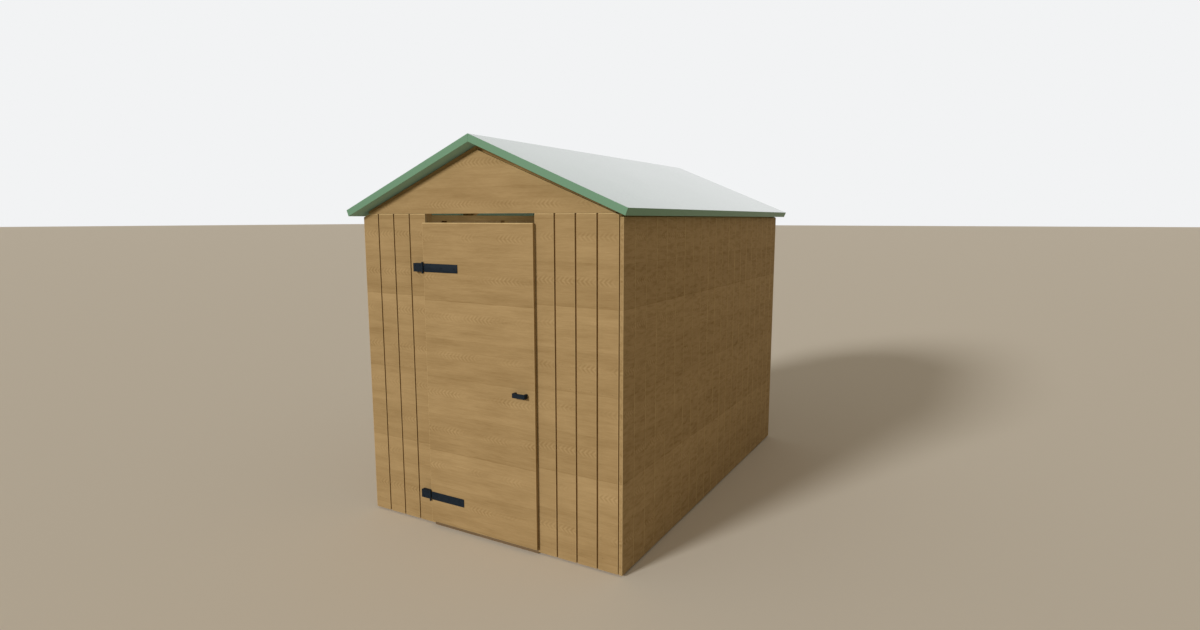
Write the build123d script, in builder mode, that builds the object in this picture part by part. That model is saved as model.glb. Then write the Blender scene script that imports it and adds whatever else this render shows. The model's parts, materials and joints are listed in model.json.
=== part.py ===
from build123d import *
import math
import os

os.makedirs("parts", exist_ok=True)

# A timber garden shed, about 6 by 9 feet, with a ridged roof and one planted door.
# Millimetres. X runs along the front, to the right of someone who faces the door.
# Y runs in from the front to the rear, and Z is up. The origin lies on the ground,
# under the middle of the roof.

# Walls
wall_width = 1803.0
wall_length = 2722.0
eave_height = 1875.0
ground_gap = 10.0
cladding = 20.0
end_board_rise = 17.0
gable_seam = 3.0

# Framing timber: its depth is measured through the wall, its width along it
frame_depth = 38.0
stud_width = 50.0
rear_stud_count = 4
side_stud_count = 5
plate_height = 38.0
plate_rise = 15.0
head_rail_lift = 2.0

# Floor
bearer_height = 45.0
bearer_width = 50.0
bearer_count = 5
deck_thickness = 15.0

# Roof
roof_pitch = 22.5
roof_thickness = 40.0
end_overhang = 76.0
eave_overhang = 62.5
eave_gap = 25.0
gable_gap = 36.5
rafter_depth = 50.0
rafter_width = 38.0
mid_rafter_pairs = 2
ridge_beam_width = 38.0
ridge_beam_drop = 95.0

# Doorway and door
doorway_left = -398.0
doorway_width = 770.0
door_lap = 3.5
door_bottom = 31.0
slot_over_door = 48.0
leaf_thickness = 16.0
leaf_gap = 6.0
ledge_thickness = 18.0
ledge_height = 95.0
ledge_inset = 22.0
ledge_chamfer = 5.0
brace_width = 90.0

# Hinges
upper_hinge_drop = 260.0
lower_hinge_rise = 164.0
hinge_plate_height = 50.0
hinge_plate = 3.0
flap_length = 75.0
strap_length = 260.0
strap_tip_height = 49.0
strap_tip_round = 2.0
knuckle_radius = 6.0
pin_radius = 3.0
pin_head_lip = 3.0
pin_head_height = 9.0
pin_head_round = 2.0
pin_clearance = 0.05
knuckle_gap = 0.5
strap_lead = 2.5
packer_gap = 8.0

# Handle
handle_inset = 90.5
handle_height = 908.0
handle_length = 86.0
handle_bar_height = 25.0
handle_bar_thickness = 10.0
handle_projection = 30.0
handle_post_width = 12.0
handle_corner_round = 4.0

# Levels and planes that follow from the sizes above
half_width = wall_width / 2
half_length = wall_length / 2
inner_x = half_width - cladding
inner_y = half_length - cladding
frame_x = inner_x - frame_depth
frame_y = inner_y - frame_depth
deck_top = bearer_height + deck_thickness
sole_top = deck_top + plate_height
wall_plate_top = eave_height + plate_rise
wall_plate_bottom = wall_plate_top - plate_height
board_top = eave_height + end_board_rise
gable_bottom = board_top + gable_seam
nogging_bottom = (sole_top + wall_plate_bottom - plate_height) / 2
nogging_top = nogging_bottom + plate_height
head_rail_bottom = gable_bottom + head_rail_lift
head_rail_top = head_rail_bottom + plate_height

slope = math.tan(math.radians(roof_pitch))
roof_cos = math.cos(math.radians(roof_pitch))
roof_sin = math.sin(math.radians(roof_pitch))
under_apex = eave_height + eave_gap + slope * half_width
ridge_height = under_apex + roof_thickness / roof_cos
roof_reach = half_width + eave_overhang
rafter_apex = under_apex - rafter_depth / roof_cos
gable_apex = under_apex - gable_gap
gable_slope = (gable_apex - eave_height) / half_width

doorway_right = doorway_left + doorway_width
door_top = board_top - slot_over_door
front_face = -half_length
leaf_back = front_face - leaf_gap
leaf_front = leaf_back - leaf_thickness
leaf_left = doorway_left - door_lap
leaf_right = doorway_right + door_lap
hinge_front = leaf_front - hinge_plate
pin_x = leaf_left - strap_lead
pin_y = leaf_front - knuckle_radius
packer_right = pin_x - packer_gap
upper_hinge_height = door_top - upper_hinge_drop
lower_hinge_height = door_bottom + lower_hinge_rise


def under_roof(x):
    """Height of the underside of the roof at a distance x from the ridge."""
    return under_apex - slope * abs(x)


def under_rafter(x):
    """Height of the lower edge of a rafter at a distance x from the ridge."""
    return rafter_apex - slope * abs(x)


def gable_line(x):
    """Height of the top of the end cladding at a distance x from the ridge."""
    return gable_apex - gable_slope * abs(x)


def gable_reach(z):
    """Distance from the ridge at which the end cladding is z high."""
    return (gable_apex - z) / gable_slope


def spread(low, high, count):
    """Centres of count timbers, evenly spaced from low to high."""
    step = (high - low) / (count - 1)
    return [low + step * i for i in range(count)]


def timber(x_low, x_high, y_low, y_high, z_low, z_high):
    """Add a straight timber or board, given by two opposite corners."""
    center = ((x_low + x_high) / 2, (y_low + y_high) / 2, (z_low + z_high) / 2)
    with Locations(center):
        Box(x_high - x_low, y_high - y_low, z_high - z_low)


def cross_piece(outline, y_front, depth):
    """Add a piece whose outline lies across the shed, running depth to the rear."""
    with BuildSketch(Plane.XZ.offset(-y_front)) as profile:
        with BuildLine():
            Polyline(*outline, close=True)
        make_face()
    extrude(profile.sketch, amount=-depth)


def upright(x, y, radius, z_low, z_high, mode=Mode.ADD):
    """Add or cut an upright round bar."""
    with Locations((x, y, (z_low + z_high) / 2)):
        Cylinder(radius, z_high - z_low, mode=mode)


def save(builder, name):
    """Label a finished piece and write it to its file."""
    builder.part.label = name
    export_step(builder.part, f"parts/{name}.step")


# Floor: bearers across the width, and the deck on them
bearer_ys = spread(-inner_y + bearer_width / 2, inner_y - bearer_width / 2, bearer_count)
with BuildPart() as floor_bearers:
    for y in bearer_ys:
        timber(-inner_x, inner_x, y - bearer_width / 2, y + bearer_width / 2, 0, bearer_height)
save(floor_bearers, "floor_bearers")

with BuildPart() as floor_deck:
    timber(-inner_x, inner_x, -inner_y, inner_y, bearer_height, deck_top)
save(floor_deck, "floor_deck")

# Cladding: each wall laps the edge of the next one, round the four corners
seam_x = gable_reach(board_top)
with BuildPart() as front_wall_left:
    left_boards = [
        (-half_width, ground_gap),
        (doorway_left, ground_gap),
        (doorway_left, board_top),
        (-seam_x, board_top),
        (-half_width, gable_line(half_width)),
    ]
    cross_piece(left_boards, front_face, cladding)
save(front_wall_left, "front_wall_left")

with BuildPart() as front_wall_right:
    right_boards = [
        (doorway_right, ground_gap),
        (inner_x, ground_gap),
        (inner_x, gable_line(inner_x)),
        (seam_x, board_top),
        (doorway_right, board_top),
    ]
    cross_piece(right_boards, front_face, cladding)
save(front_wall_right, "front_wall_right")

with BuildPart() as rear_wall:
    rear_boards = [
        (-inner_x, ground_gap),
        (half_width, ground_gap),
        (half_width, gable_line(half_width)),
        (seam_x, board_top),
        (-seam_x, board_top),
        (-inner_x, gable_line(inner_x)),
    ]
    cross_piece(rear_boards, inner_y, cladding)
save(rear_wall, "rear_wall")

gable_x = gable_reach(gable_bottom)
gable_outline = [(-gable_x, gable_bottom), (gable_x, gable_bottom), (0, gable_apex)]
with BuildPart() as front_gable:
    cross_piece(gable_outline, front_face, cladding)
save(front_gable, "front_gable")

with BuildPart() as rear_gable:
    cross_piece(gable_outline, inner_y, cladding)
save(rear_gable, "rear_gable")

with BuildPart() as left_wall:
    timber(-half_width, -inner_x, -inner_y, half_length, ground_gap, eave_height)
save(left_wall, "left_wall")

with BuildPart() as right_wall:
    timber(inner_x, half_width, -half_length, inner_y, ground_gap, eave_height)
save(right_wall, "right_wall")

with BuildPart() as door_sill:
    timber(doorway_left, doorway_right, front_face, -inner_y, 0, deck_top)
save(door_sill, "door_sill")

# End frames: sole plates on the deck, studs on them, noggings between the studs at half
# height, which take the boards' middle nails, and a head rail cut to the roof
rail_top_x = (under_apex - head_rail_top) / slope
rail_outline = [
    (-inner_x, head_rail_bottom),
    (inner_x, head_rail_bottom),
    (inner_x, under_roof(inner_x)),
    (rail_top_x, head_rail_top),
    (-rail_top_x, head_rail_top),
    (-inner_x, under_roof(inner_x)),
]


def end_studs(x_centers, y_low):
    """Add studs of an end frame, from its sole plate to its head rail."""
    for x in x_centers:
        x_low = x - stud_width / 2
        timber(x_low, x_low + stud_width, y_low, y_low + frame_depth, sole_top, head_rail_bottom)


def end_noggings(x_centers, y_low):
    """Add the noggings between neighbouring studs of an end frame."""
    for x, next_x in zip(x_centers, x_centers[1:]):
        x_low = x + stud_width / 2
        x_high = next_x - stud_width / 2
        timber(x_low, x_high, y_low, y_low + frame_depth, nogging_bottom, nogging_top)


corner_x = frame_x - stud_width / 2
left_jamb = doorway_left - stud_width / 2
right_jamb = doorway_right + stud_width / 2
with BuildPart() as front_sole_plates:
    timber(-frame_x, doorway_left, -inner_y, -frame_y, deck_top, sole_top)
    timber(doorway_right, frame_x, -inner_y, -frame_y, deck_top, sole_top)
save(front_sole_plates, "front_sole_plates")

left_middle = (left_jamb - corner_x) / 2
right_middle = (right_jamb + corner_x) / 2
with BuildPart() as front_studs:
    end_studs([-corner_x, left_middle, right_middle, corner_x], -inner_y)
save(front_studs, "front_studs")

with BuildPart() as door_posts:
    end_studs([left_jamb, right_jamb], -inner_y)
save(door_posts, "door_posts")

with BuildPart() as front_noggings:
    end_noggings([-corner_x, left_middle, left_jamb], -inner_y)
    end_noggings([right_jamb, right_middle, corner_x], -inner_y)
save(front_noggings, "front_noggings")

with BuildPart() as front_head_rail:
    cross_piece(rail_outline, -inner_y, frame_depth)
save(front_head_rail, "front_head_rail")

with BuildPart() as rear_sole_plate:
    timber(-frame_x, frame_x, frame_y, inner_y, deck_top, sole_top)
save(rear_sole_plate, "rear_sole_plate")

rear_stud_xs = spread(-corner_x, corner_x, rear_stud_count)
with BuildPart() as rear_studs:
    end_studs(rear_stud_xs, frame_y)
save(rear_studs, "rear_studs")

with BuildPart() as rear_noggings:
    end_noggings(rear_stud_xs, frame_y)
save(rear_noggings, "rear_noggings")

with BuildPart() as rear_head_rail:
    cross_piece(rail_outline, frame_y, frame_depth)
save(rear_head_rail, "rear_head_rail")

# Side frames: the studs stand under the rafters and midway between them
bay = 2 * inner_y / (mid_rafter_pairs + 1)
mid_rafter_ys = [-inner_y + bay * (i + 1) for i in range(mid_rafter_pairs)]
side_stud_ys = spread(-inner_y + stud_width / 2, inner_y - stud_width / 2, side_stud_count)
for side_name, x_low in (("left", -inner_x), ("right", frame_x)):
    x_high = x_low + frame_depth
    with BuildPart() as side_sole_plate:
        timber(x_low, x_high, -inner_y, inner_y, deck_top, sole_top)
    save(side_sole_plate, f"{side_name}_sole_plate")

    with BuildPart() as side_studs:
        for y in side_stud_ys:
            y_low = y - stud_width / 2
            timber(x_low, x_high, y_low, y_low + stud_width, sole_top, wall_plate_bottom)
    save(side_studs, f"{side_name}_studs")

    with BuildPart() as side_noggings:
        for y, next_y in zip(side_stud_ys, side_stud_ys[1:]):
            y_low = y + stud_width / 2
            y_high = next_y - stud_width / 2
            timber(x_low, x_high, y_low, y_high, nogging_bottom, nogging_top)
    save(side_noggings, f"{side_name}_noggings")

    with BuildPart() as side_wall_plate:
        timber(x_low, x_high, -inner_y, inner_y, wall_plate_bottom, wall_plate_top)
    save(side_wall_plate, f"{side_name}_wall_plate")

# Roof frame: a ridge beam with a bevelled top, and rafters in pairs against it
beam_x = ridge_beam_width / 2
with BuildPart() as ridge_beam:
    beam_outline = [
        (-beam_x, under_apex - ridge_beam_drop),
        (beam_x, under_apex - ridge_beam_drop),
        (beam_x, under_roof(beam_x)),
        (0, under_apex),
        (-beam_x, under_roof(beam_x)),
    ]
    cross_piece(beam_outline, -inner_y, 2 * inner_y)
save(ridge_beam, "ridge_beam")


def end_rafters(y_low):
    """Add the two rafters of an end frame, cut level to sit on its head rail."""
    seat_x = (rafter_apex - head_rail_top) / slope
    for side in (-1, 1):
        outline = [
            (side * beam_x, under_rafter(beam_x)),
            (side * seat_x, head_rail_top),
            (side * rail_top_x, head_rail_top),
            (side * beam_x, under_roof(beam_x)),
        ]
        cross_piece(outline, y_low, frame_depth)


with BuildPart() as front_rafters:
    end_rafters(-inner_y)
save(front_rafters, "front_rafters")

with BuildPart() as rear_rafters:
    end_rafters(frame_y)
save(rear_rafters, "rear_rafters")

with BuildPart() as mid_rafters:
    plate_seat_x = (rafter_apex - wall_plate_top) / slope
    for y in mid_rafter_ys:
        for side in (-1, 1):
            mid_outline = [
                (side * beam_x, under_rafter(beam_x)),
                (side * plate_seat_x, wall_plate_top),
                (side * inner_x, wall_plate_top),
                (side * inner_x, under_roof(inner_x)),
                (side * beam_x, under_roof(beam_x)),
            ]
            cross_piece(mid_outline, y - rafter_width / 2, rafter_width)
save(mid_rafters, "mid_rafters")

# Roof panels: two thick slabs, mitred at the ridge and cut square at the eaves
panel_top = ridge_height - slope * roof_reach
panel_foot_x = roof_reach - roof_thickness * roof_sin
panel_foot_z = panel_top - roof_thickness * roof_cos
roof_length = wall_length + 2 * end_overhang
for side_name, side in (("left", -1), ("right", 1)):
    with BuildPart() as roof_panel:
        panel_outline = [
            (0, under_apex),
            (side * panel_foot_x, panel_foot_z),
            (side * roof_reach, panel_top),
            (0, ridge_height),
        ]
        cross_piece(panel_outline, -roof_length / 2, roof_length)
    save(roof_panel, f"roof_panel_{side_name}")

# Door: a leaf planted on the face of the wall, with ledges and braces in the doorway
with BuildPart() as door_leaf:
    timber(leaf_left, leaf_right, leaf_front, leaf_back, door_bottom, door_top)
save(door_leaf, "door_leaf")

ledge_left = doorway_left + ledge_inset
ledge_right = doorway_right - ledge_inset
ledge_heights = spread(lower_hinge_height, upper_hinge_height, 3)
with BuildPart() as door_ledges:
    for z in ledge_heights:
        ledge_inner = leaf_back + ledge_thickness
        ledge_low = z - ledge_height / 2
        timber(ledge_left, ledge_right, leaf_back, ledge_inner, ledge_low, ledge_low + ledge_height)
    inner_rims = door_ledges.faces().filter_by(Axis.Y).group_by(Axis.Y)[-1].edges()
    chamfer(inner_rims.filter_by(Axis.X), length=ledge_chamfer)
save(door_ledges, "door_ledges")

with BuildPart() as door_braces:
    for lower_z, upper_z in zip(ledge_heights, ledge_heights[1:]):
        brace_low = lower_z + ledge_height / 2
        brace_high = upper_z - ledge_height / 2
        brace_outline = [
            (ledge_left, brace_low),
            (ledge_left + brace_width, brace_low),
            (ledge_right, brace_high),
            (ledge_right - brace_width, brace_high),
        ]
        cross_piece(brace_outline, leaf_back, ledge_thickness)
save(door_braces, "door_braces")

# Hinges: a flap on the wall, a strap on the door, and a pin through their knuckles
knuckle_length = (hinge_plate_height - 2 * knuckle_gap) / 3
flap_left = pin_x - flap_length
bore_radius = pin_radius + pin_clearance
for hinge_name, height in (("upper", upper_hinge_height), ("lower", lower_hinge_height)):
    bottom = height - hinge_plate_height / 2
    top = height + hinge_plate_height / 2
    middle_low = bottom + knuckle_length + knuckle_gap
    middle_high = top - knuckle_length - knuckle_gap

    with BuildPart() as hinge_packer:
        timber(flap_left, packer_right, leaf_front, front_face, bottom, top)
    save(hinge_packer, f"{hinge_name}_hinge_packer")

    with BuildPart() as hinge_flap:
        timber(flap_left, packer_right, hinge_front, leaf_front, bottom, top)
        for z_low in (bottom, top - knuckle_length):
            z_high = z_low + knuckle_length
            timber(packer_right, pin_x, hinge_front, leaf_front, z_low, z_high)
            upright(pin_x, pin_y, knuckle_radius, z_low, z_high)
        upright(pin_x, pin_y, bore_radius, bottom, top, mode=Mode.SUBTRACT)
    save(hinge_flap, f"{hinge_name}_hinge_flap")

    with BuildPart() as hinge_strap:
        strap_left = pin_x + packer_gap
        strap_outline = [
            (strap_left, bottom),
            (pin_x + strap_length, height - strap_tip_height / 2),
            (pin_x + strap_length, height + strap_tip_height / 2),
            (strap_left, top),
        ]
        cross_piece(strap_outline, hinge_front, hinge_plate)
        strap_tip = hinge_strap.edges().filter_by(Axis.Y).group_by(Axis.X)[-1]
        fillet(strap_tip, radius=strap_tip_round)
        timber(pin_x, strap_left, hinge_front, leaf_front, middle_low, middle_high)
        upright(pin_x, pin_y, knuckle_radius, middle_low, middle_high)
        upright(pin_x, pin_y, bore_radius, bottom, top, mode=Mode.SUBTRACT)
    save(hinge_strap, f"{hinge_name}_hinge_strap")

    with BuildPart() as hinge_pin:
        upright(pin_x, pin_y, pin_radius, bottom, top)
        upright(pin_x, pin_y, pin_radius + pin_head_lip, bottom - pin_head_height, bottom)
        upright(pin_x, pin_y, pin_radius + pin_head_lip, top, top + pin_head_height)
        rims = hinge_pin.edges().filter_by(GeomType.CIRCLE).sort_by(Axis.Z)
        fillet([rims[0], rims[-1]], radius=pin_head_round)
    save(hinge_pin, f"{hinge_name}_hinge_pin")

# Handle: a flat bar on two posts, with room for fingers behind it
handle_center_x = leaf_right - handle_inset
handle_left = handle_center_x - handle_length / 2
handle_right = handle_center_x + handle_length / 2
handle_front = leaf_front - handle_projection
bar_back = handle_front + handle_bar_thickness
grip_left = handle_left + handle_post_width
grip_right = handle_right - handle_post_width
with BuildPart() as door_handle:
    with BuildSketch(Plane.XY.offset(handle_height - handle_bar_height / 2)):
        with BuildLine():
            Polyline(
                (handle_left, leaf_front),
                (handle_left, handle_front),
                (handle_right, handle_front),
                (handle_right, leaf_front),
                (grip_right, leaf_front),
                (grip_right, bar_back),
                (grip_left, bar_back),
                (grip_left, leaf_front),
                close=True,
            )
        make_face()
    extrude(amount=handle_bar_height)
    outer_corners = door_handle.edges().filter_by(Axis.Z).group_by(Axis.Y)[0]
    fillet(outer_corners, radius=handle_corner_round)
save(door_handle, "door_handle")
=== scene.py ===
import json
import math
import random
from functools import partial
from typing import NamedTuple

import bpy
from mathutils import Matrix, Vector


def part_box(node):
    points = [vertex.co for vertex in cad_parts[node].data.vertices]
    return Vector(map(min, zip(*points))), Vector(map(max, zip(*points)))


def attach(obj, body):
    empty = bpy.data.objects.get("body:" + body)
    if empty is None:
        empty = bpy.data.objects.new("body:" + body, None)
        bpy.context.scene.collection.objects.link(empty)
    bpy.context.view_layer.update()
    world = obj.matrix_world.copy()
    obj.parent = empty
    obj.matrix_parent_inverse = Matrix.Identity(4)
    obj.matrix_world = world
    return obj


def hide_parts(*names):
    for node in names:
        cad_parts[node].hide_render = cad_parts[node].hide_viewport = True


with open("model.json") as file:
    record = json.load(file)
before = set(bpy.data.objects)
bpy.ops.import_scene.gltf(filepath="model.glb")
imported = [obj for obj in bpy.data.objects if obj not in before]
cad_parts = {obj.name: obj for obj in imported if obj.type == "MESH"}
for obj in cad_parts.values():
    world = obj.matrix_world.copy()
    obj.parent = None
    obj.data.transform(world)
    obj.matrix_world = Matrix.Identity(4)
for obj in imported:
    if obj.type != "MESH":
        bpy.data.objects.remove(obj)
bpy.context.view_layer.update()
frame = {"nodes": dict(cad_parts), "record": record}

bl_info = {
    "name": "Garden shed",
    "version": (1, 0, 0),
    "blender": (4, 5, 0),
    "location": "View3D > Sidebar > Shed",
    "description": "Dresses the shed's frame with boards, timbers, ironmongery and finishes",
    "category": "Object",
}

# The box of each node of the frame, as two corners, and the body that the node belongs to
BOX_OF = {name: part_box(name) for name in frame["nodes"]}
BODY_OF = {
    node: body
    for body, members in frame["record"]["behaviour"]["bodies"].items()
    for node in members
}

# The shed's level directions: along its front, and from its front to its rear. A wall's boards
# run one way, and face another.
ACROSS, ALONG = Vector((1, 0, 0)), Vector((0, 1, 0))
END_WALLS = {
    "front_wall_left": (ACROSS, -ALONG),
    "front_wall_right": (ACROSS, -ALONG),
    "rear_wall": (-ACROSS, ALONG),
}
SIDE_WALLS = {"left_wall": (-ALONG, -ACROSS), "right_wall": (ALONG, ACROSS)}

# Points this close count as level, and a face looks one way where its normal's share of that
# way is over this
LEVEL_WITHIN = 1e-4
FACING = 0.99
# Points this close become one, edges flatter than this are taken out and sharper ones eased
MERGE_WITHIN = 1e-5
FLAT_ANGLE = math.radians(1)
SHARP_ANGLE = math.radians(40)

# Open joint between the tops of the end boards and the gable over them
GABLE_JOINT = 0.0005
# Room between a board's tongue and the step of the next board
TONGUE_CLEARANCE = 0.0005
# Narrowest last board of a wall, as a share of the others. A smaller rest widens the board
# before it.
LEAST_BOARD = 0.25

# How far the grain is moved on along a piece, so that no two show the same stretch of it. The
# boards of a wall and of the floor draw theirs at random, from 0 to the most.
MOST_SEED = 40.0
GABLE_SEED_STEP = 3.7
TIMBER_SEED_STEP = 5.3
SILL_SEED = 9.1
DOOR_SEED = 17.3
# Where the random draws of each kind of board start
END_DRAWS, SIDE_DRAWS, FLOOR_DRAWS = 11, 21, 31


class ShedSizes(bpy.types.PropertyGroup):
    """Sizes that a user of the shed would change."""

    end_pitch: bpy.props.FloatProperty(
        name="End board pitch",
        description="Distance from one board to the next in the front and rear walls",
        default=0.1274,
        unit="LENGTH",
    )
    side_pitch: bpy.props.FloatProperty(
        name="Side board pitch",
        description="Distance from one board to the next in the side walls",
        default=0.1303,
        unit="LENGTH",
    )
    first_extra: bpy.props.FloatProperty(
        name="First board, extra width",
        description="How much wider the first board of a front or rear wall is",
        default=0.0025,
        unit="LENGTH",
    )
    corner_gap: bpy.props.FloatProperty(
        name="Corner gap",
        description="Width of the open joint between the last board of a wall and the corner",
        default=0.0065,
        unit="LENGTH",
    )
    end_gap: bpy.props.FloatProperty(
        name="End board gap",
        description="Width of the open joint between two boards of the front and rear walls",
        default=0.010,
        unit="LENGTH",
    )
    side_gap: bpy.props.FloatProperty(
        name="Side board gap",
        description="Width of the open joint between two boards of the side walls",
        default=0.003,
        unit="LENGTH",
    )
    board_lap: bpy.props.FloatProperty(
        name="Board lap",
        description="Distance that a board's tongue reaches in behind the next board",
        default=0.006,
        unit="LENGTH",
    )
    floor_pitch: bpy.props.FloatProperty(
        name="Floor board pitch",
        description="Distance from one floor board to the next",
        default=0.121,
        unit="LENGTH",
    )
    floor_gap: bpy.props.FloatProperty(
        name="Floor board gap",
        description="Gap between two floor boards",
        default=0.002,
        unit="LENGTH",
    )
    board_ease: bpy.props.FloatProperty(
        name="Board edge",
        description="Width of the eased edge of a wall board",
        default=0.0015,
        unit="LENGTH",
    )
    gable_ease: bpy.props.FloatProperty(
        name="Gable edge",
        description="Width of the eased edge of a gable panel",
        default=0.0005,
        unit="LENGTH",
    )
    top_ease: bpy.props.FloatProperty(
        name="Board top",
        description="Width of the bevel on the top outer edge of the end wall boards",
        default=0.003,
        unit="LENGTH",
    )
    door_top: bpy.props.FloatProperty(
        name="Door top",
        description="Width of the bevel on the top outer edge of the door leaf",
        default=0.0035,
        unit="LENGTH",
    )
    timber_ease: bpy.props.FloatProperty(
        name="Timber edge",
        description="Width of the eased edge of a framing timber",
        default=0.002,
        unit="LENGTH",
    )
    roof_ease: bpy.props.FloatProperty(
        name="Roof edge",
        description="Width of the rounded edge of a roof panel",
        default=0.001,
        unit="LENGTH",
    )
    metal_ease: bpy.props.FloatProperty(
        name="Metal edge",
        description="Width of the rounded edge of a hinge or the handle",
        default=0.0006,
        unit="LENGTH",
    )
    screw_head: bpy.props.FloatProperty(
        name="Screw head",
        description="Diameter of the head of a hinge screw",
        default=0.008,
        unit="LENGTH",
    )
    nut: bpy.props.FloatProperty(
        name="Nut",
        description="Width across the corners of the nuts that hold the handle",
        default=0.0115,
        unit="LENGTH",
    )
    nail_head: bpy.props.FloatProperty(
        name="Nail head",
        description="Diameter of the head of a nail in the wall boards",
        default=0.003,
        unit="LENGTH",
    )


class ShedColours(bpy.types.PropertyGroup):
    """Finishes that a user of the shed would change, as sRGB hex values."""

    boards: bpy.props.StringProperty(
        name="Boards",
        description="Stained boards of the walls, gables and door",
        default="A4895F",
    )
    # Painted highlight: the eased edges are paler than the boards, so that they show as lit lines
    # along the gaps and the tops
    board_edges: bpy.props.StringProperty(
        name="Board edges",
        description="Boards' eased edges, where the stain is thin",
        default="C9AE7E",
    )
    # Painted shade: the tongues at the bottom of the gaps are darker than the boards, to stand in
    # for the shade in the gaps
    tongues: bpy.props.StringProperty(
        name="Board tongues",
        description="Boards' tongues in the gaps, where the stain has pooled",
        default="6A4012",
    )
    # Painted shade: the sill is darker than the boards, to stand in for the shade of the door over
    # it
    sill: bpy.props.StringProperty(
        name="Door sill",
        description="Weathered sill under the door",
        default="77634A",
    )
    timber: bpy.props.StringProperty(
        name="Framing timber",
        description="Sawn framing timber",
        default="A08154",
    )
    roof: bpy.props.StringProperty(
        name="Roof paint",
        description="Green paint of the roof panels",
        default="638E6E",
    )
    # Painted light: the roof panels' undersides are paler and bluer than the roof paint, so that
    # they render bright though they lie in shade
    undercoat: bpy.props.StringProperty(
        name="Roof undercoat",
        description="Pale undercoat of the roof panels' undersides",
        default="8FB4A4",
    )
    iron: bpy.props.StringProperty(
        name="Ironmongery",
        description="Black japanned iron of the hinges and the handle",
        default="1B242D",
    )
    nails: bpy.props.StringProperty(
        name="Nails",
        description="Nail heads in the boards, stained over",
        default="7A6038",
    )
    floor: bpy.props.StringProperty(
        name="Studio floor",
        description="Plain pale floor",
        default="DDD4C4",
    )
    daylight: bpy.props.StringProperty(
        name="Studio light",
        description="Light that comes from all round",
        default="FFF2DE",
    )
    backdrop: bpy.props.StringProperty(
        name="Studio backdrop",
        description="Plain backdrop behind the floor",
        default="F2F3F4",
    )


def sizes():
    """The sizes as they are set in the panel."""
    return bpy.context.scene.shed_sizes


def colours():
    """The colours as they are set in the panel."""
    return bpy.context.scene.shed_colours


def linear(hex_colour):
    """The linear colour of an sRGB hex value."""
    channels = [int(hex_colour[i : i + 2], 16) / 255 for i in (0, 2, 4)]
    return [c / 12.92 if c <= 0.04045 else ((c + 0.055) / 1.055) ** 2.4 for c in channels]


def add_node(tree, kind, inputs=None, **settings):
    """Add one shader node. An input takes a value, a socket or another node's first output."""
    node = tree.nodes.new("ShaderNode" + kind)
    for name, value in settings.items():
        setattr(node, name, value)
    for name, value in (inputs or {}).items():
        if isinstance(value, bpy.types.Node):
            value = value.outputs[0]
        if isinstance(value, bpy.types.NodeSocket):
            tree.links.new(value, node.inputs[name])
        else:
            node.inputs[name].default_value = value
    return node


def start_material(name):
    """A new material with an empty tree, and add_node for that tree."""
    material = bpy.data.materials.new(name)
    material.use_nodes = True
    material.node_tree.nodes.clear()
    return material, partial(add_node, material.node_tree)


def grain_space(node, grain, slope, seeded=True):
    """Object coordinates with the grain along X, moved on by each board's own seed or not."""
    place = node("TexCoord").outputs["Object"]
    sloped = node("Mapping", {"Vector": place, "Rotation": (0.0, slope, 0.0)})
    split = node("SeparateXYZ", {"Vector": sloped}).outputs
    seed = node("Attribute", attribute_name="board_seed").outputs["Fac"] if seeded else 0.0
    across, other = [axis for axis in "XYZ" if axis != grain]
    along = node("Math", {0: split[grain], 1: seed}, operation="ADD")
    moved = node("Math", {0: split[across], 1: seed}, operation="ADD")
    return node("CombineXYZ", {"X": along, "Y": moved, "Z": split[other]})


# The boards are faced with leaves of wood, one above the other, in turns of four up the wall.
# The tones are those of each leaf's top, middle and bottom, from the top leaf down, and their
# places are shares of a leaf's height.
LEAF_HEIGHT = 0.2265
LEAF_TONES = ((1.08, 1.03, 1.02), (0.94, 1.0, 0.94), (0.99, 1.03, 1.03), (0.94, 0.98, 0.93))
TONE_PLACES = (0.01, 0.5, 0.99)
# Distance between two chevrons of heart grain
CHEVRON_PITCH = 0.027


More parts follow.
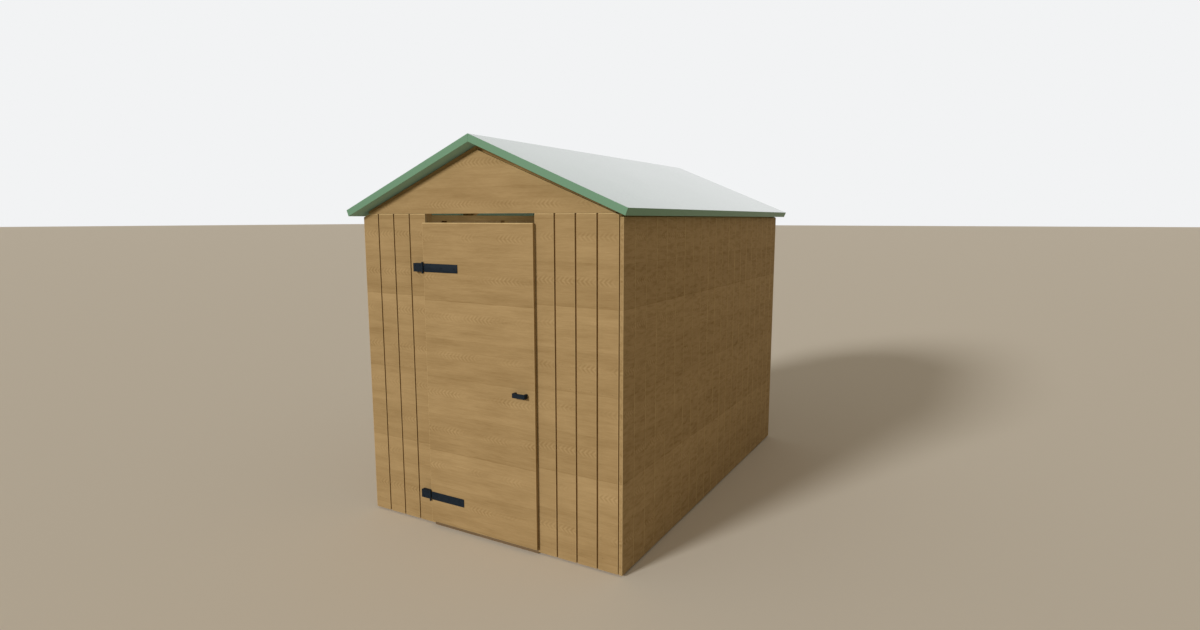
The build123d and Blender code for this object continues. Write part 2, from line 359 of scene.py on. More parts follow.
def leaf_figure(node, space):
    """The tone of the leaves: a step from one to the next, a thin seam and rows of chevrons."""
    split = node("SeparateXYZ", {"Vector": space}).outputs
    along, height = split["X"], split["Z"]

    # The seams wander by some 3 mm up and down, in waves of 170 mm and more
    bend_space = node("CombineXYZ", {"X": along, "Y": 0.0, "Z": 0.0})
    bend = node("TexNoise", {"Vector": bend_space, "Scale": 6.0, "Detail": 1.0})
    top = node("Attribute", attribute_name="leaf_top").outputs["Fac"]
    below = node("Math", {0: top, 1: height}, operation="SUBTRACT")
    bent = node("Math", {0: bend, 1: 0.012, 2: below}, operation="MULTIPLY_ADD")
    turns = node("Math", {0: bent, 1: 1 / (4 * LEAF_HEIGHT)}, operation="MULTIPLY")
    turn = node("Math", {0: turns}, operation="FRACT")
    # The tones are halved here and doubled further on, because a ramp's colours end at 1. The
    # two stops that a new ramp has at its ends are taken out.
    tones = node("ValToRGB", {"Fac": turn})
    stops = tones.color_ramp.elements
    for leaf, levels in enumerate(LEAF_TONES):
        for place, level in zip(TONE_PLACES, levels):
            stops.new((leaf + place) / 4).color = (level / 2, level / 2, level / 2, 1.0)
    stops.remove(stops[-1])
    stops.remove(stops[0])

    # From 0 at a leaf's top to 1 at its foot, where a seam 5 mm high is darker
    leaves = node("Math", {0: turn, 1: 4.0}, operation="MULTIPLY")
    down = node("Math", {0: leaves}, operation="FRACT")
    seam_ends = {"From Min": 0.97, "From Max": 0.985, "To Min": 0.0, "To Max": 0.08}
    seam = node("MapRange", {"Value": down, **seam_ends})

    # Chevrons of heart grain in a row some 40 mm high, two fifths of the way down. They show
    # in patches some 200 mm wide.
    aside = node("Math", {0: down, 1: 0.4}, operation="SUBTRACT")
    spread = node("Math", {0: aside}, operation="ABSOLUTE")
    swept = node("Math", {0: spread, 1: -LEAF_HEIGHT, 2: along}, operation="MULTIPLY_ADD")
    angle = node("Math", {0: swept, 1: math.tau / CHEVRON_PITCH}, operation="MULTIPLY")
    chevrons = node("Math", {0: angle}, operation="SINE")
    row_ends = {"From Min": 0.05, "From Max": 0.12, "To Min": 1.0, "To Max": 0.0}
    row = node("MapRange", {"Value": spread, **row_ends})
    patch_space = node("Mapping", {"Vector": space, "Scale": (5.0, 1.0, 4.5)})
    patch = node("TexNoise", {"Vector": patch_space, "Scale": 1.0, "Detail": 1.0})
    patch_ends = {"From Min": 0.45, "From Max": 0.6, "To Min": 0.01, "To Max": 0.12}
    strength = node("MapRange", {"Value": patch, **patch_ends})
    drawn = node("Math", {0: chevrons, 1: row}, operation="MULTIPLY")

    seamed = node("Math", {0: tones, 1: 2.0}, operation="MULTIPLY")
    seamed = node("Math", {0: seamed, 1: seam}, operation="SUBTRACT")
    return node("Math", {0: drawn, 1: strength, 2: seamed}, operation="MULTIPLY_ADD")


class Figure(NamedTuple):
    """Size of a wood's streaks or flecks, and how deep they and the smudges of stain are."""

    length: float
    width: float
    depth: float
    smudges: float


PLAIN = Figure(length=0.300, width=0.015, depth=0.20, smudges=0.42)
CURLY = Figure(length=0.085, width=0.021, depth=0.50, smudges=0.20)
FIBRE_DEPTH = 0.3
# How far the roughness of wood and of roof paint ranges over a surface
WOOD_ROUGHNESS = 0.15
PAINT_ROUGHNESS = 0.08
# How much red, green and blue vary where the tone of the wood does
WARMTH = (0.88, 1.0, 1.25)


def wood(name, colour, grain, rough, contrast=1.0, leaved=False, figured=PLAIN, slope=0.0):
    """Dull, fibrous wood: streaked along its grain, with smudges of stain and a faint tooth."""
    material, node = start_material(name)
    space = grain_space(node, grain, slope)

    # Streaks or flecks, dark only where the noise is high
    streak_scale = (1 / figured.length, 1 / figured.width, 1 / figured.width)
    streak_space = node("Mapping", {"Vector": space, "Scale": streak_scale})
    streak_look = {"Scale": 1.0, "Detail": 3.0, "Roughness": 0.6, "Distortion": 0.2}
    streaks = node("TexNoise", {"Vector": streak_space, **streak_look})
    dark_ends = {"From Min": 0.45, "From Max": 0.75, "To Min": 0.6, "To Max": 0.0}
    dark = node("MapRange", {"Value": streaks, **dark_ends})
    # Fibres 3 mm across and 45 mm long, coarser than real ones, which are too fine for a picture
    fibre_scale = (22.0, 330.0, 330.0)
    fibre_space = node("Mapping", {"Vector": space, "Scale": fibre_scale})
    fibres = node("TexNoise", {"Vector": fibre_space, "Scale": 1.0, "Detail": 2.0})
    # Smudges of stain 60 mm across and 300 mm long, brushed on over all boards of a wall
    smudge_scale = (3.3, 16.0, 16.0)
    wall_space = grain_space(node, grain, slope, seeded=False)
    smudge_space = node("Mapping", {"Vector": wall_space, "Scale": smudge_scale})
    smudges = node("TexNoise", {"Vector": smudge_space, "Scale": 1.0, "Detail": 2.0})

    tone = leaf_figure(node, space) if leaved else 1.0
    depths = ((dark, figured.depth), (fibres, FIBRE_DEPTH), (smudges, figured.smudges))
    for pattern, depth in depths:
        shifted = node("Math", {0: pattern, 1: 0.5}, operation="SUBTRACT")
        links = {0: shifted, 1: depth * contrast, 2: tone}
        tone = node("Math", links, operation="MULTIPLY_ADD")
    # Dark wood is a warmer brown than pale wood, so blue varies more than red does
    swing = node("Math", {0: tone, 1: 1.0}, operation="SUBTRACT")
    base = linear(colour)
    swings = [channel * share for channel, share in zip(base, WARMTH)]
    figure = node("VectorMath", {0: swing, 1: swings, 2: base}, operation="MULTIPLY_ADD")
    tooth = node("Bump", {"Height": fibres, "Distance": 0.0006, "Strength": 0.4})
    least = rough - WOOD_ROUGHNESS / 2
    dulled = node("Math", {0: streaks, 1: WOOD_ROUGHNESS, 2: least}, operation="MULTIPLY_ADD")
    look = {"Roughness": dulled, "IOR": 1.5, "Specular IOR Level": 0.04}
    shader = node("BsdfPrincipled", {"Base Color": figure, "Normal": tooth, **look})
    node("OutputMaterial", {"Surface": shader})
    return material


def roof_paint(name, colour, rough, specular, coat):
    """Brushed oil paint on smooth sheet: an even colour, a little cloudy, with a clear skin."""
    material, node = start_material(name)
    place = node("TexCoord").outputs["Object"]
    # Clouds half a metre across, where the paint lies thicker
    clouds = node("TexNoise", {"Vector": place, "Scale": 2.0, "Detail": 3.0})
    # Grit 8 mm across, for the sheet under the paint
    grit = node("TexNoise", {"Vector": place, "Scale": 120.0, "Detail": 3.0})
    shade = node("Math", {0: clouds, 1: 0.10, 2: 0.93}, operation="MULTIPLY_ADD")
    tone = node("Math", {0: grit, 1: 0.04, 2: shade}, operation="MULTIPLY_ADD")
    figure = node("VectorMath", {0: linear(colour), "Scale": tone}, operation="SCALE")
    least = rough - PAINT_ROUGHNESS / 2
    uneven = node("Math", {0: clouds, 1: PAINT_ROUGHNESS, 2: least}, operation="MULTIPLY_ADD")
    ripple = node("Bump", {"Height": grit, "Distance": 0.0002, "Strength": 0.1})
    look = {"Roughness": uneven, "IOR": 1.5, "Specular IOR Level": specular}
    skin = {"Coat Weight": coat, "Coat Roughness": 0.1, "Coat IOR": 1.5}
    links = {"Base Color": figure, "Normal": ripple, "Coat Normal": ripple}
    shader = node("BsdfPrincipled", {**links, **look, **skin})
    node("OutputMaterial", {"Surface": shader})
    return material


def japanned_iron(name, colour):
    """Stoved black enamel on iron plate: blue-black, half dull, pitted like orange peel."""
    material, node = start_material(name)
    place = node("TexCoord").outputs["Object"]
    # Wear in spots 20 mm across, and a peel 2 mm across
    wear = node("TexNoise", {"Vector": place, "Scale": 50.0, "Detail": 4.0})
    peel = node("TexNoise", {"Vector": place, "Scale": 450.0, "Detail": 2.0})
    tone = node("Math", {0: wear, 1: 0.6, 2: 0.7}, operation="MULTIPLY_ADD")
    figure = node("VectorMath", {0: linear(colour), "Scale": tone}, operation="SCALE")
    dulled = node("Math", {0: wear, 1: 0.2, 2: 0.4}, operation="MULTIPLY_ADD")
    pits = node("Bump", {"Height": peel, "Distance": 0.0002, "Strength": 0.3})
    look = {"Roughness": dulled, "IOR": 1.5, "Specular IOR Level": 0.06}
    shader = node("BsdfPrincipled", {"Base Color": figure, "Normal": pits, **look})
    node("OutputMaterial", {"Surface": shader})
    return material


def stained_steel(name, colour):
    """Steel nail heads brushed over with the boards' stain: smooth, brown and a little shiny."""
    material, node = start_material(name)
    place = node("TexCoord").outputs["Object"]
    # Blotches of stain 3 mm across
    stain = node("TexNoise", {"Vector": place, "Scale": 300.0, "Detail": 2.0})
    tone = node("Math", {0: stain, 1: 0.4, 2: 0.8}, operation="MULTIPLY_ADD")
    figure = node("VectorMath", {0: linear(colour), "Scale": tone}, operation="SCALE")
    dulled = node("Math", {0: stain, 1: 0.2, 2: 0.4}, operation="MULTIPLY_ADD")
    look = {"Roughness": dulled, "IOR": 1.5, "Specular IOR Level": 0.3}
    shader = node("BsdfPrincipled", {"Base Color": figure, **look})
    node("OutputMaterial", {"Surface": shader})
    return material


def brace_slope():
    """The angle at which the braces rise across the door, from the box round both of them."""
    size = BOX_OF["door_braces"][1] - BOX_OF["door_braces"][0]
    return math.atan2(size.z / 2, size.x)


def finish(name):
    """The finish of that name, made the first time that a piece asks for it."""
    if name in bpy.data.materials:
        return bpy.data.materials[name]
    paint = colours()
    board = partial(wood, colour=paint.boards, rough=0.7, leaved=True)
    sawn = partial(wood, colour=paint.timber, rough=0.85, contrast=1.4)
    roof = partial(roof_paint, colour=paint.roof)
    makers = {
        "wall_boards_x": partial(board, grain="X"),
        "wall_boards_y": partial(board, grain="Y", figured=CURLY),
        # Paler edges, a painted highlight
        "board_edges": partial(wood, colour=paint.board_edges, grain="Z", rough=0.7),
        # Darker tongues, a painted shade in the gaps
        "board_tongues": partial(wood, colour=paint.tongues, grain="Z", rough=0.8),
        # Darker sill, a painted shade of the door over it
        "weathered_sill": partial(wood, colour=paint.sill, grain="X", rough=0.85),
        "sawn_timber_x": partial(sawn, grain="X"),
        "sawn_timber_y": partial(sawn, grain="Y"),
        "sawn_timber_z": partial(sawn, grain="Z"),
        "sawn_timber_brace": partial(sawn, grain="X", slope=brace_slope()),
        "roof_gloss": partial(roof, rough=0.2, specular=0.5, coat=1.0),
        "roof_satin": partial(roof, rough=0.45, specular=0.3, coat=0.3),
        # Paler undersides, painted light in the shade under the roof
        "roof_undercoat": partial(roof, colour=paint.undercoat, rough=0.8, specular=0.05, coat=0.0),
        "japanned_iron": partial(japanned_iron, colour=paint.iron),
        "stained_steel": partial(stained_steel, colour=paint.nails),
    }
    return makers[name](name)


def only(obj):
    """Select one object and nothing else, and make it active."""
    bpy.ops.object.select_all(action="DESELECT")
    obj.select_set(True)
    bpy.context.view_layer.objects.active = obj


def paint_with(obj, *names):
    """Give an object its finishes: for its faces, its eased edges and faces chosen later."""
    obj.data.materials.clear()
    for name in names:
        obj.data.materials.append(finish(name))


def mark(obj, **values):
    """Give every point of an object the same value of each named attribute."""
    for name, value in values.items():
        attribute = obj.data.attributes.new(name, "FLOAT", "POINT")
        attribute.data.foreach_set("value", [value] * len(obj.data.vertices))


def hand_over(obj, body, replaced=()):
    """Let a finished piece ride its body, in place of the nodes that it shows."""
    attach(obj, body)
    if replaced:
        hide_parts(*replaced)


def ease_edges(obj, width):
    """Round an object's sharp edges. A second finish, where there is one, takes the new faces."""
    only(obj)
    modifier = obj.modifiers.new("Ease", "BEVEL")
    modifier.width = width
    modifier.segments = 2
    modifier.limit_method = "ANGLE"
    modifier.angle_limit = SHARP_ANGLE
    if len(obj.data.materials) > 1:
        modifier.material = 1
    bpy.ops.object.modifier_apply(modifier=modifier.name)


def block(name, low, high):
    """A cube added between two corners, with its place and size in its mesh."""
    bpy.ops.object.select_all(action="DESELECT")
    low, high = Vector(low), Vector(high)
    bpy.ops.mesh.primitive_cube_add(size=1, location=(low + high) / 2)
    obj = bpy.context.object
    obj.name = name
    obj.scale = high - low
    bpy.ops.object.transform_apply(location=True, rotation=True, scale=True)
    return obj


def join(parts, name):
    """Join parts into one mesh of that name."""
    bpy.ops.object.select_all(action="DESELECT")
    for part in parts:
        part.select_set(True)
    bpy.context.view_layer.objects.active = parts[0]
    if len(parts) > 1:
        bpy.ops.object.join()
    parts[0].name = name
    parts[0].data.name = name
    return parts[0]


def cut_across(obj, point, normal, keep_all=False):
    """Cut an object by a plane, and take off what lies beyond it unless all is kept."""
    only(obj)
    bpy.ops.object.mode_set(mode="EDIT")
    bpy.ops.mesh.select_all(action="SELECT")
    bpy.ops.mesh.bisect(
        plane_co=point, plane_no=normal, use_fill=not keep_all, clear_outer=not keep_all
    )
    bpy.ops.object.mode_set(mode="OBJECT")


def draw_out(obj, facing, side, middle, move):
    """Extrude the faces that look one way and lie on one side of the middle."""
    only(obj)
    bpy.ops.object.mode_set(mode="EDIT")
    bpy.ops.mesh.select_mode(type="FACE")
    bpy.ops.mesh.select_all(action="DESELECT")
    bpy.ops.object.mode_set(mode="OBJECT")
    for face in obj.data.polygons:
        beyond = (face.center - middle).dot(side) > 0
        face.select = beyond and face.normal.dot(facing) > FACING
    bpy.ops.object.mode_set(mode="EDIT")
    bpy.ops.mesh.extrude_region_move(TRANSFORM_OT_translate={"value": move})
    bpy.ops.object.mode_set(mode="OBJECT")


def bevel_top(obj, outward, width):
    """Bevel the top outer edges of an upright board."""
    only(obj)
    bpy.ops.object.mode_set(mode="EDIT")
    bpy.ops.mesh.select_mode(type="EDGE")
    bpy.ops.mesh.select_all(action="DESELECT")
    bpy.ops.object.mode_set(mode="OBJECT")
    points = obj.data.vertices
    reach = max(point.co.dot(outward) for point in points) - LEVEL_WITHIN
    level = {point.index: point.co.z for point in points if point.co.dot(outward) > reach}
    top = max(level.values()) - LEVEL_WITHIN
    for edge in obj.data.edges:
        edge.select = min(level.get(index, 0.0) for index in edge.vertices) > top
    bpy.ops.object.mode_set(mode="EDIT")
    # The bevel takes the second finish: on the boards and the door that is the paler painted
    # highlight
    bpy.ops.mesh.bevel(offset=width, segments=1, material=1)
    bpy.ops.object.mode_set(mode="OBJECT")


def trim_to_gable(board):
    """Cut a board's top to the slopes of the gable."""
    low, high = BOX_OF["front_gable"]
    fall = (high.z - low.z) / (high.x - low.x) * 2
    for side in (-1, 1):
        cut_across(board, Vector((0, 0, high.z)), Vector((side * fall, 0, 1)).normalized())


def shade_tongue(board, middle, outward):
    """Give a tongue's outer face, which lies in the middle of the wall, its own darker finish:
    painted shade in the gap.
    """
    for face in board.data.polygons:
        depth = abs((face.center - middle).dot(outward))
        if depth < LEVEL_WITHIN and face.normal.dot(outward) > FACING:
            face.material_index = 2


def wall_boards(node, run, outward, pitch, gap, leaf_top, draws):
    """Half-lapped boards side by side along a wall, in the box of its CAD slab.

    Each board's outer half starts a lap's width before its inner half, which reaches on behind
    the gap and the next board's lip.
    """
    rng = random.Random(draws)
    low, high = (corner.copy() for corner in BOX_OF[node])
    axis, grain, extra = 1, "y", 0.0
    if run.x:
        axis, grain, extra = 0, "x", sizes().first_extra
        high.z = BOX_OF["front_gable"][0].z - GABLE_JOINT
    length = abs((high - low).dot(run))
    middle = (low + high) / 2
    start = middle - run * length / 2
    count = math.ceil(length / pitch - LEAST_BOARD)
    boards = []
    for index in range(count):
        near, lip = index * pitch + extra, sizes().board_lap
        far, shut = (index + 1) * pitch + extra, gap
        tongue = gap + sizes().board_lap - TONGUE_CLEARANCE
        if index == 0:
            near, lip = 0.0, 0.0
        if index == count - 1:
            # The last board ends with an open joint at the corner, and with none at the doorway
            far = length
            shut = tongue = 0.0 if node == "front_wall_left" else sizes().corner_gap
        ends = [(start + run * reach)[axis] for reach in (near + lip, far - shut)]
        board_low, board_high = low.copy(), high.copy()
        board_low[axis], board_high[axis] = min(ends), max(ends)
        board = block(f"{node}_board", board_low, board_high)
        # The paler eased edges are a painted highlight, and the darker tongues a painted shade in
        # the gaps
        paint_with(board, f"wall_boards_{grain}", "board_edges", "board_tongues")
        cut_across(board, middle, outward, keep_all=True)
        if lip:
            draw_out(board, -run, outward, middle, -run * lip)
        if tongue:
            draw_out(board, run, -outward, middle, run * tongue)
            shade_tongue(board, middle, outward)
        if run.x:
            trim_to_gable(board)
            bevel_top(board, outward, sizes().top_ease)
        ease_edges(board, sizes().board_ease)
        mark(board, board_seed=rng.uniform(0.0, MOST_SEED), leaf_top=leaf_top)
        boards.append(board)
    return join(boards, f"{node}_boards")


def eased_copy(node, width, seed, *names):
    """A copy of a CAD node, merged to whole faces, with its finishes and its edges eased.

    A width of 0 leaves the edges sharp.
    """
    piece = bpy.data.objects.new(f"{node}_eased", frame["nodes"][node].data.copy())
    bpy.context.scene.collection.objects.link(piece)
    only(piece)
    bpy.ops.object.mode_set(mode="EDIT")
    bpy.ops.mesh.select_all(action="SELECT")
    bpy.ops.mesh.remove_doubles(threshold=MERGE_WITHIN)
    bpy.ops.mesh.dissolve_limited(angle_limit=FLAT_ANGLE)
    bpy.ops.object.mode_set(mode="OBJECT")
    paint_with(piece, *names)
    if width:
        ease_edges(piece, width)
    mark(piece, board_seed=seed)
    return piece


def round_head(name, width, height, sides=12):
    """A flat round head standing on the ground, from a cylinder, with its rim eased."""
    bpy.ops.object.select_all(action="DESELECT")
    place = (0, 0, height / 2)
    bpy.ops.mesh.primitive_cylinder_add(
        vertices=sides, radius=width / 2, depth=height, location=place
    )
    head = bpy.context.object
    head.name = name
    bpy.ops.object.transform_apply(location=True, rotation=True, scale=True)
    ease_edges(head, height / 3)
    return head


def set_out(pattern, places, outward, name):
    """Copies of a small thing at places, standing on faces that look outward, as one piece."""
    turn = outward.to_track_quat("Z", "Y")
    copies = []
    for place in places:
        copy = bpy.data.objects.new(name, pattern.data.copy())
        bpy.context.scene.collection.objects.link(copy)
        copy.rotation_mode = "QUATERNION"
        copy.rotation_quaternion = turn
        copy.location = place
        copies.append(copy)
    piece = join(copies, name)
    bpy.ops.object.transform_apply(location=True, rotation=True, scale=True)
    return piece


# The camera, worked out from the edges of the shed in the photograph. A pitch below 0 looks
# down, and a turn above 0 looks to the left. The lens and the film are in millimetres.
CAMERA_PLACE = (2.4586, -4.3440, 1.8649)
CAMERA_PITCH = math.radians(-7.99)
CAMERA_TURN = math.radians(29.54)
CAMERA_LENS = 20.53
CAMERA_FILM = 36.0


class SHED_OT_camera(bpy.types.Operator):
    """Place the camera where the photograph was taken"""

    bl_idname = "shed.camera"
    bl_label = "Camera"

    def execute(self, context):
        data = bpy.data.cameras.new("photo_camera")
        data.sensor_width = CAMERA_FILM
        data.lens = CAMERA_LENS
        camera = bpy.data.objects.new("photo_camera", data)
        context.scene.collection.objects.link(camera)
        camera.location = CAMERA_PLACE
        camera.rotation_euler = (math.pi / 2 + CAMERA_PITCH, 0, CAMERA_TURN)
        context.scene.camera = camera
        return {"FINISHED"}


# The studio: a floor that reaches the horizon, light from all round, a key that shines in over
# the left front corner, and a lamp inside for the light that the pale floor throws in
FLOOR_SIZE = 400.0
DAYLIGHT_STRENGTH = 0.32
BACKDROP_STRENGTH = 1.0
KEY_STRENGTH = 2.15
KEY_SPREAD = math.radians(12)
KEY_TRAVEL = Vector((0.38, 1.10, -0.47))
FILL_POWER = 15.0
FILL_RADIUS = 0.25
FILL_PLACE = (0.2, -0.35, 1.7)


def add_light(name, kind, strength):
    """Add a light to the scene."""
    data = bpy.data.lights.new(name, kind)
    data.energy = strength
    light = bpy.data.objects.new(name, data)
    bpy.context.scene.collection.objects.link(light)
    return light


class SHED_OT_stage(bpy.types.Operator):
    """Lay a plain pale floor and light it with a soft key, a pale world and a fill inside"""

    bl_idname = "shed.stage"
    bl_label = "Studio"

    def execute(self, context):
        bpy.ops.object.select_all(action="DESELECT")
        bpy.ops.mesh.primitive_plane_add(size=FLOOR_SIZE, location=(0, 0, 0))
        floor = context.object
        floor.name = "studio_floor"
        material, node = start_material("studio_floor")
        look = {"Base Color": (*linear(colours().floor), 1.0), "Roughness": 0.9}
        shader = node("BsdfPrincipled", {**look, "Specular IOR Level": 0.1})
        node("OutputMaterial", {"Surface": shader})
        floor.data.materials.append(material)

        # Camera and mirror rays see the backdrop, and all others the light
        world = bpy.data.worlds.new("studio_world")
        context.scene.world = world
        world.use_nodes = True
        world.node_tree.nodes.clear()
        node = partial(add_node, world.node_tree)
        shine = {"Color": (*linear(colours().daylight), 1.0), "Strength": DAYLIGHT_STRENGTH}
        plain = {"Color": (*linear(colours().backdrop), 1.0), "Strength": BACKDROP_STRENGTH}
        light, backdrop = node("Background", shine), node("Background", plain)
        path = node("LightPath").outputs
        seen = path["Is Camera Ray"]
        for ray in ("Is Glossy Ray", "Is Transmission Ray"):
            seen = node("Math", {0: seen, 1: path[ray]}, operation="MAXIMUM")
        sky = node("MixShader", {0: seen, 1: light, 2: backdrop})
        node("OutputWorld", {"Surface": sky})

        key = add_light("soft_key", "SUN", KEY_STRENGTH)
        key.data.angle = KEY_SPREAD
        key.rotation_euler = KEY_TRAVEL.to_track_quat("-Z", "Y").to_euler()

        fill = add_light("inside_fill", "POINT", FILL_POWER)
        fill.data.shadow_soft_size = FILL_RADIUS
        fill.location = FILL_PLACE

        context.scene.view_settings.view_transform = "Standard"
        return {"FINISHED"}


# Height of the top of a leaf of the first tone, on each kind of piece
WALL_LEAF_TOP = 1.407
DOOR_LEAF_TOP = 1.389
GABLE_LEAF_TOP = 2.256


class SHED_OT_end_boards(bpy.types.Operator):
    """Board the front wall on both sides of the doorway, and the rear wall"""

    bl_idname = "shed.end_boards"
    bl_label = "Front and rear boards"

    def execute(self, context):
        pitch, gap = sizes().end_pitch, sizes().end_gap
        for draws, (node, (run, outward)) in enumerate(END_WALLS.items(), END_DRAWS):
            piece = wall_boards(node, run, outward, pitch, gap, WALL_LEAF_TOP, draws)
            hand_over(piece, "shed", [node])
        return {"FINISHED"}


class SHED_OT_side_boards(bpy.types.Operator):
    """Board the two side walls, each from the corner where it laps the wall before it"""

    bl_idname = "shed.side_boards"
    bl_label = "Side boards"

    def execute(self, context):
        pitch, gap = sizes().side_pitch, sizes().side_gap
        for draws, (node, (run, outward)) in enumerate(SIDE_WALLS.items(), SIDE_DRAWS):
            piece = wall_boards(node, run, outward, pitch, gap, WALL_LEAF_TOP, draws)
            hand_over(piece, "shed", [node])
        return {"FINISHED"}


class SHED_OT_gables(bpy.types.Operator):
    """Finish the gable panels in the walls' own wood, and the door sill in darker wood, a painted
    shade of the door over it
    """

    bl_idname = "shed.gables"
    bl_label = "Gables and sill"

    def execute(self, context):
        for turn, node in enumerate(("front_gable", "rear_gable")):
            seed = GABLE_SEED_STEP * turn
            # The gables' eased edges take the paler finish, a painted highlight
            piece = eased_copy(node, sizes().gable_ease, seed, "wall_boards_x", "board_edges")
            mark(piece, leaf_top=GABLE_LEAF_TOP)
            hand_over(piece, "shed", [node])
        # The sill's darker colour is a painted shade of the door over it
        sill = eased_copy("door_sill", sizes().timber_ease, SILL_SEED, "weathered_sill")
        hand_over(sill, "shed", ["door_sill"])
        return {"FINISHED"}


class SHED_OT_door(bpy.types.Operator):
    """Finish the door leaf in the walls' own wood, with a bevel along its top"""

    bl_idname = "shed.door"
    bl_label = "Door leaf"

    def execute(self, context):
        # The eased edges and the top bevel take the paler finish, a painted highlight
        piece = eased_copy("door_leaf", 0.0, DOOR_SEED, "wall_boards_x", "board_edges")
        bevel_top(piece, -ALONG, sizes().door_top)
        ease_edges(piece, sizes().board_ease)
        mark(piece, leaf_top=DOOR_LEAF_TOP)
        hand_over(piece, "door", ["door_leaf"])
        return {"FINISHED"}


class SHED_OT_floor(bpy.types.Operator):
    """Lay the floor boards from the front to the rear, side by side"""

    bl_idname = "shed.floor"
    bl_label = "Floor boards"

    def execute(self, context):
        rng = random.Random(FLOOR_DRAWS)
        low, high = BOX_OF["floor_deck"]
        pitch, gap = sizes().floor_pitch, sizes().floor_gap
        boards = []
        near = low.x
        while near < high.x - gap:
            far = min(near + pitch - gap, high.x)
            board = block("floor_board", (near, low.y, low.z), (far, high.y, high.z))
            paint_with(board, "sawn_timber_y")
            ease_edges(board, sizes().board_ease)
            mark(board, board_seed=rng.uniform(0.0, MOST_SEED))
            boards.append(board)
            near += pitch
        piece = join(boards, "floor_boards")
        hand_over(piece, "shed", ["floor_deck"])
        return {"FINISHED"}


# Framing nodes by the way that their grain runs. The rafters' is drawn level, across the shed.
LIES_ALONG = {
    "x": (
        "floor_bearers",
        "front_sole_plates",
        "front_noggings",
        "front_head_rail",
        "rear_sole_plate",
        "rear_noggings",
        "rear_head_rail",
        "front_rafters",
        "rear_rafters",
        "mid_rafters",
        "door_ledges",
    ),
    "y": (
        "left_sole_plate",
        "right_sole_plate",
        "left_noggings",
        "right_noggings",
        "left_wall_plate",
        "right_wall_plate",
        "ridge_beam",
    ),
    "z": ("front_studs", "door_posts", "rear_studs", "left_studs", "right_studs"),
    "brace": ("door_braces",),
}


class SHED_OT_framing(bpy.types.Operator):
    """Finish the framing timbers in sawn wood along their length"""

    bl_idname = "shed.framing"
    bl_label = "Framing timbers"

    def execute(self, context):
        for grain, nodes in LIES_ALONG.items():
            for turn, node in enumerate(nodes):
                seed = TIMBER_SEED_STEP * turn
                piece = eased_copy(node, sizes().timber_ease, seed, f"sawn_timber_{grain}")
                hand_over(piece, BODY_OF[node], [node])
        return {"FINISHED"}


# Share of a face's normal that points up on the top of the roof, and down on its underside
PANEL_NORMAL = 0.9


class SHED_OT_roof(bpy.types.Operator):
    """Finish the two roof panels, glossy on top, duller on their edges, and underneath in a paler
    colour that paints light into the shade under the roof
    """

    bl_idname = "shed.roof"
    bl_label = "Roof panels"

    def execute(self, context):
        for node in ("roof_panel_left", "roof_panel_right"):
            finishes = ("roof_gloss", "roof_satin", "roof_undercoat")
            piece = eased_copy(node, sizes().roof_ease, 0.0, *finishes)
            for face in piece.data.polygons:
                if face.normal.z > PANEL_NORMAL:
                    face.material_index = 0
                # The undersides take the paler finish, painted light in their shade
                elif face.normal.z < -PANEL_NORMAL:
                    face.material_index = 2
                else:
                    face.material_index = 1
            hand_over(piece, "shed", [node])
        return {"FINISHED"}


class SHED_OT_ironmongery(bpy.types.Operator):
    """Finish the hinges and the handle in black japanned iron"""

    bl_idname = "shed.ironmongery"
    bl_label = "Hinges and handle"

    def execute(self, context):
        for node in BOX_OF:
            if "hinge" in node or node == "door_handle":
                piece = eased_copy(node, sizes().metal_ease, 0.0, "japanned_iron")
                hand_over(piece, BODY_OF[node], [node])
        return {"FINISHED"}


# How high a nail's head stands, and the shares of a board's width at which the nails go in
NAIL_RISE = 0.0009
NAIL_SHARES = (0.25, 0.75)
# A last board that lacks more than this share of its width gets no nails
NAILED_LACK = 0.1
# The timbers that the boards are nailed to. The rear and right walls' stand as high as these.
END_ROWS = ("front_sole_plates", "front_noggings")
SIDE_ROWS = ("left_sole_plate", "left_noggings", "left_wall_plate")


def nail_places(node, run, outward, pitch, gap, rows):
    """Where a wall is nailed: two nails a board, at the middle height of each row of timbers."""
    low, high = BOX_OF[node]
    size = high - low
    length = abs(size.dot(run))
    face = (low + high) / 2 + outward * abs(size.dot(outward)) / 2
    places = []
    for count in range(math.floor(length / pitch + NAILED_LACK)):
        for share in NAIL_SHARES:
            along = pitch * count + (pitch - gap) * share - length / 2
            for row in rows:
                place = face + run * along
                place.z = sum(end.z for end in BOX_OF[row]) / 2
                places.append(place)
    return places


class SHED_OT_nails(bpy.types.Operator):
    """Nail each whole wall board to the plates and noggings behind it, two nails at each"""

    bl_idname = "shed.nails"
    bl_label = "Nails"

    def execute(self, context):
        head = round_head("nail_head", sizes().nail_head, NAIL_RISE)
        paint_with(head, "stained_steel")
        kinds = (
            (END_WALLS, sizes().end_pitch, sizes().end_gap, END_ROWS),
            (SIDE_WALLS, sizes().side_pitch, sizes().side_gap, SIDE_ROWS),
        )
        for walls, pitch, gap, rows in kinds:
            for node, (run, outward) in walls.items():
                places = nail_places(node, run, outward, pitch, gap, rows)
                piece = set_out(head, places, outward, f"{node}_nails")
                hand_over(piece, "shed")
        bpy.data.objects.remove(head)
        return {"FINISHED"}


# Thickness of the hinges' plates, which lie on the front of their packers
HINGE_PLATE = 0.003
# A screw's head: its height, the width of its slot and the height of the slot's floor
SCREW_RISE = 0.0018
SLOT_WIDTH = 0.0012
SLOT_FLOOR = 0.0008
# Where the screws are on a plate: shares of its length, and of its height from the middle
SCREW_SHARES = {"flap": ((0.2, 0.62), (-0.25, 0.25)), "strap": ((0.2, 0.55, 0.9), (0.0,))}


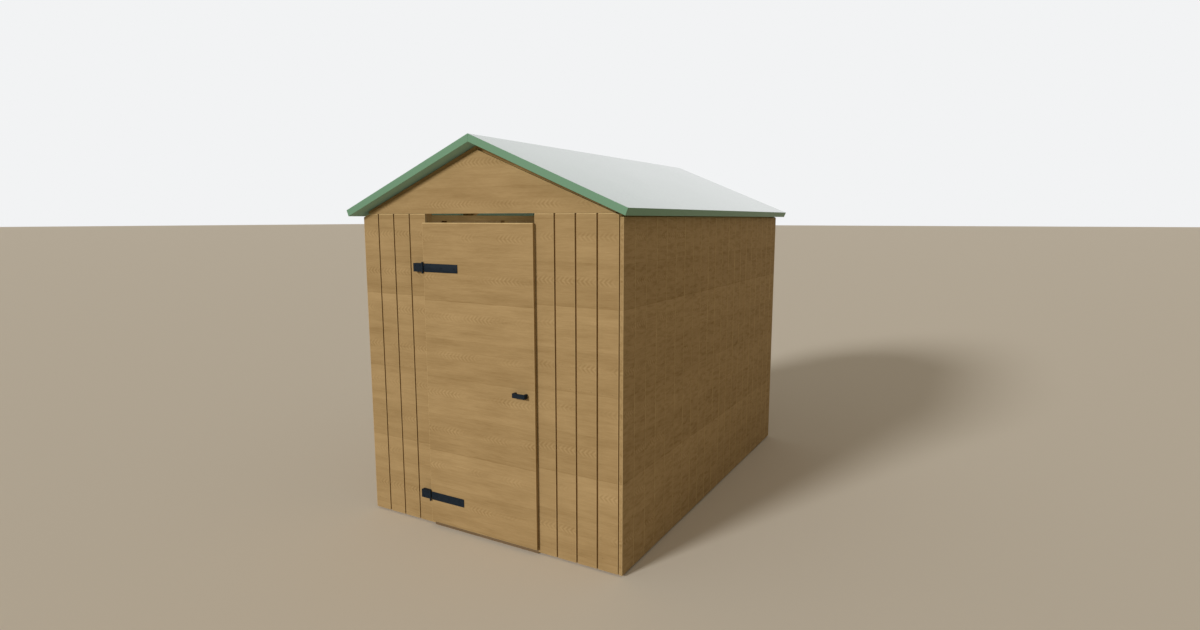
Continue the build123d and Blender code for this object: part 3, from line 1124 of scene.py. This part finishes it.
def slotted_head():
    """A round screw head with a straight slot, for a flat screwdriver."""
    head = round_head("screw_head", sizes().screw_head, SCREW_RISE, sides=20)
    # The cutter reaches out past the head's rim and top
    past, half = 0.01, SLOT_WIDTH / 2
    cutter = block("screw_slot", (-past, -half, SLOT_FLOOR), (past, half, past))
    only(head)
    cut = head.modifiers.new("Slot", "BOOLEAN")
    cut.operation = "DIFFERENCE"
    cut.object = cutter
    bpy.ops.object.modifier_apply(modifier=cut.name)
    bpy.data.objects.remove(cutter)
    return head


class SHED_OT_screws(bpy.types.Operator):
    """Screw the hinges' flaps to the wall and their straps to the door"""

    bl_idname = "shed.screws"
    bl_label = "Screws"

    def execute(self, context):
        head = slotted_head()
        paint_with(head, "japanned_iron")
        front = BOX_OF["upper_hinge_packer"][0].y - HINGE_PLATE
        for level in ("upper", "lower"):
            for plate, (shares, rises) in SCREW_SHARES.items():
                node = f"{level}_hinge_{plate}"
                low, high = BOX_OF[node]
                places = []
                for share in shares:
                    x = low.x + (high.x - low.x) * share
                    for rise in rises:
                        z = (low.z + high.z) / 2 + (high.z - low.z) * rise
                        places.append(Vector((x, front, z)))
                piece = set_out(head, places, -ALONG, f"{node}_screws")
                hand_over(piece, BODY_OF[node])
        bpy.data.objects.remove(head)
        return {"FINISHED"}


# How far the nuts and the bolts' ends stand out from the ledge
NUT_RISE = 0.005
BOLT_RISE = 0.0075
# Share of the handle's length from its end to the middle of a post
POST_SHARE = 0.07


class SHED_OT_bolts(bpy.types.Operator):
    """Bolt the handle's posts through the door and its middle ledge, with a nut on each bolt"""

    bl_idname = "shed.bolts"
    bl_label = "Bolts"

    def execute(self, context):
        low, high = BOX_OF["door_handle"]
        nut = round_head("nut", sizes().nut, NUT_RISE, sides=6)
        bolt = round_head("bolt_end", sizes().nut / 2, BOLT_RISE)
        pair = join([nut, bolt], "nut_and_bolt_end")
        paint_with(pair, "japanned_iron")
        back = BOX_OF["door_ledges"][1].y
        height = (low.z + high.z) / 2
        post = (high.x - low.x) * POST_SHARE
        places = [Vector((x, back, height)) for x in (low.x + post, high.x - post)]
        piece = set_out(pair, places, ALONG, "handle_bolts")
        hand_over(piece, "door")
        bpy.data.objects.remove(pair)
        return {"FINISHED"}


class SHED_PT_panel(bpy.types.Panel):
    """Lists the shed's sizes, finishes and steps"""

    bl_idname = "SHED_PT_panel"
    bl_label = "Garden shed"
    bl_space_type = "VIEW_3D"
    bl_region_type = "UI"
    bl_category = "Shed"

    def draw(self, context):
        layout = self.layout
        for group in (context.scene.shed_sizes, context.scene.shed_colours):
            box = layout.box()
            for name in group.__annotations__:
                box.prop(group, name)
        for operator in OPERATORS:
            layout.operator(operator.bl_idname)


OPERATORS = (
    SHED_OT_camera,
    SHED_OT_stage,
    SHED_OT_end_boards,
    SHED_OT_side_boards,
    SHED_OT_gables,
    SHED_OT_door,
    SHED_OT_floor,
    SHED_OT_framing,
    SHED_OT_roof,
    SHED_OT_ironmongery,
    SHED_OT_nails,
    SHED_OT_screws,
    SHED_OT_bolts,
)
CLASSES = (ShedSizes, ShedColours, *OPERATORS, SHED_PT_panel)


def register():
    for cls in CLASSES:
        bpy.utils.register_class(cls)
    bpy.types.Scene.shed_sizes = bpy.props.PointerProperty(type=ShedSizes)
    bpy.types.Scene.shed_colours = bpy.props.PointerProperty(type=ShedColours)


def unregister():
    del bpy.types.Scene.shed_colours
    del bpy.types.Scene.shed_sizes
    for cls in reversed(CLASSES):
        bpy.utils.unregister_class(cls)


def main():
    register()
    for operator in OPERATORS:
        group, name = operator.bl_idname.split(".")
        getattr(getattr(bpy.ops, group), name)()


if __name__ == "__main__":
    main()
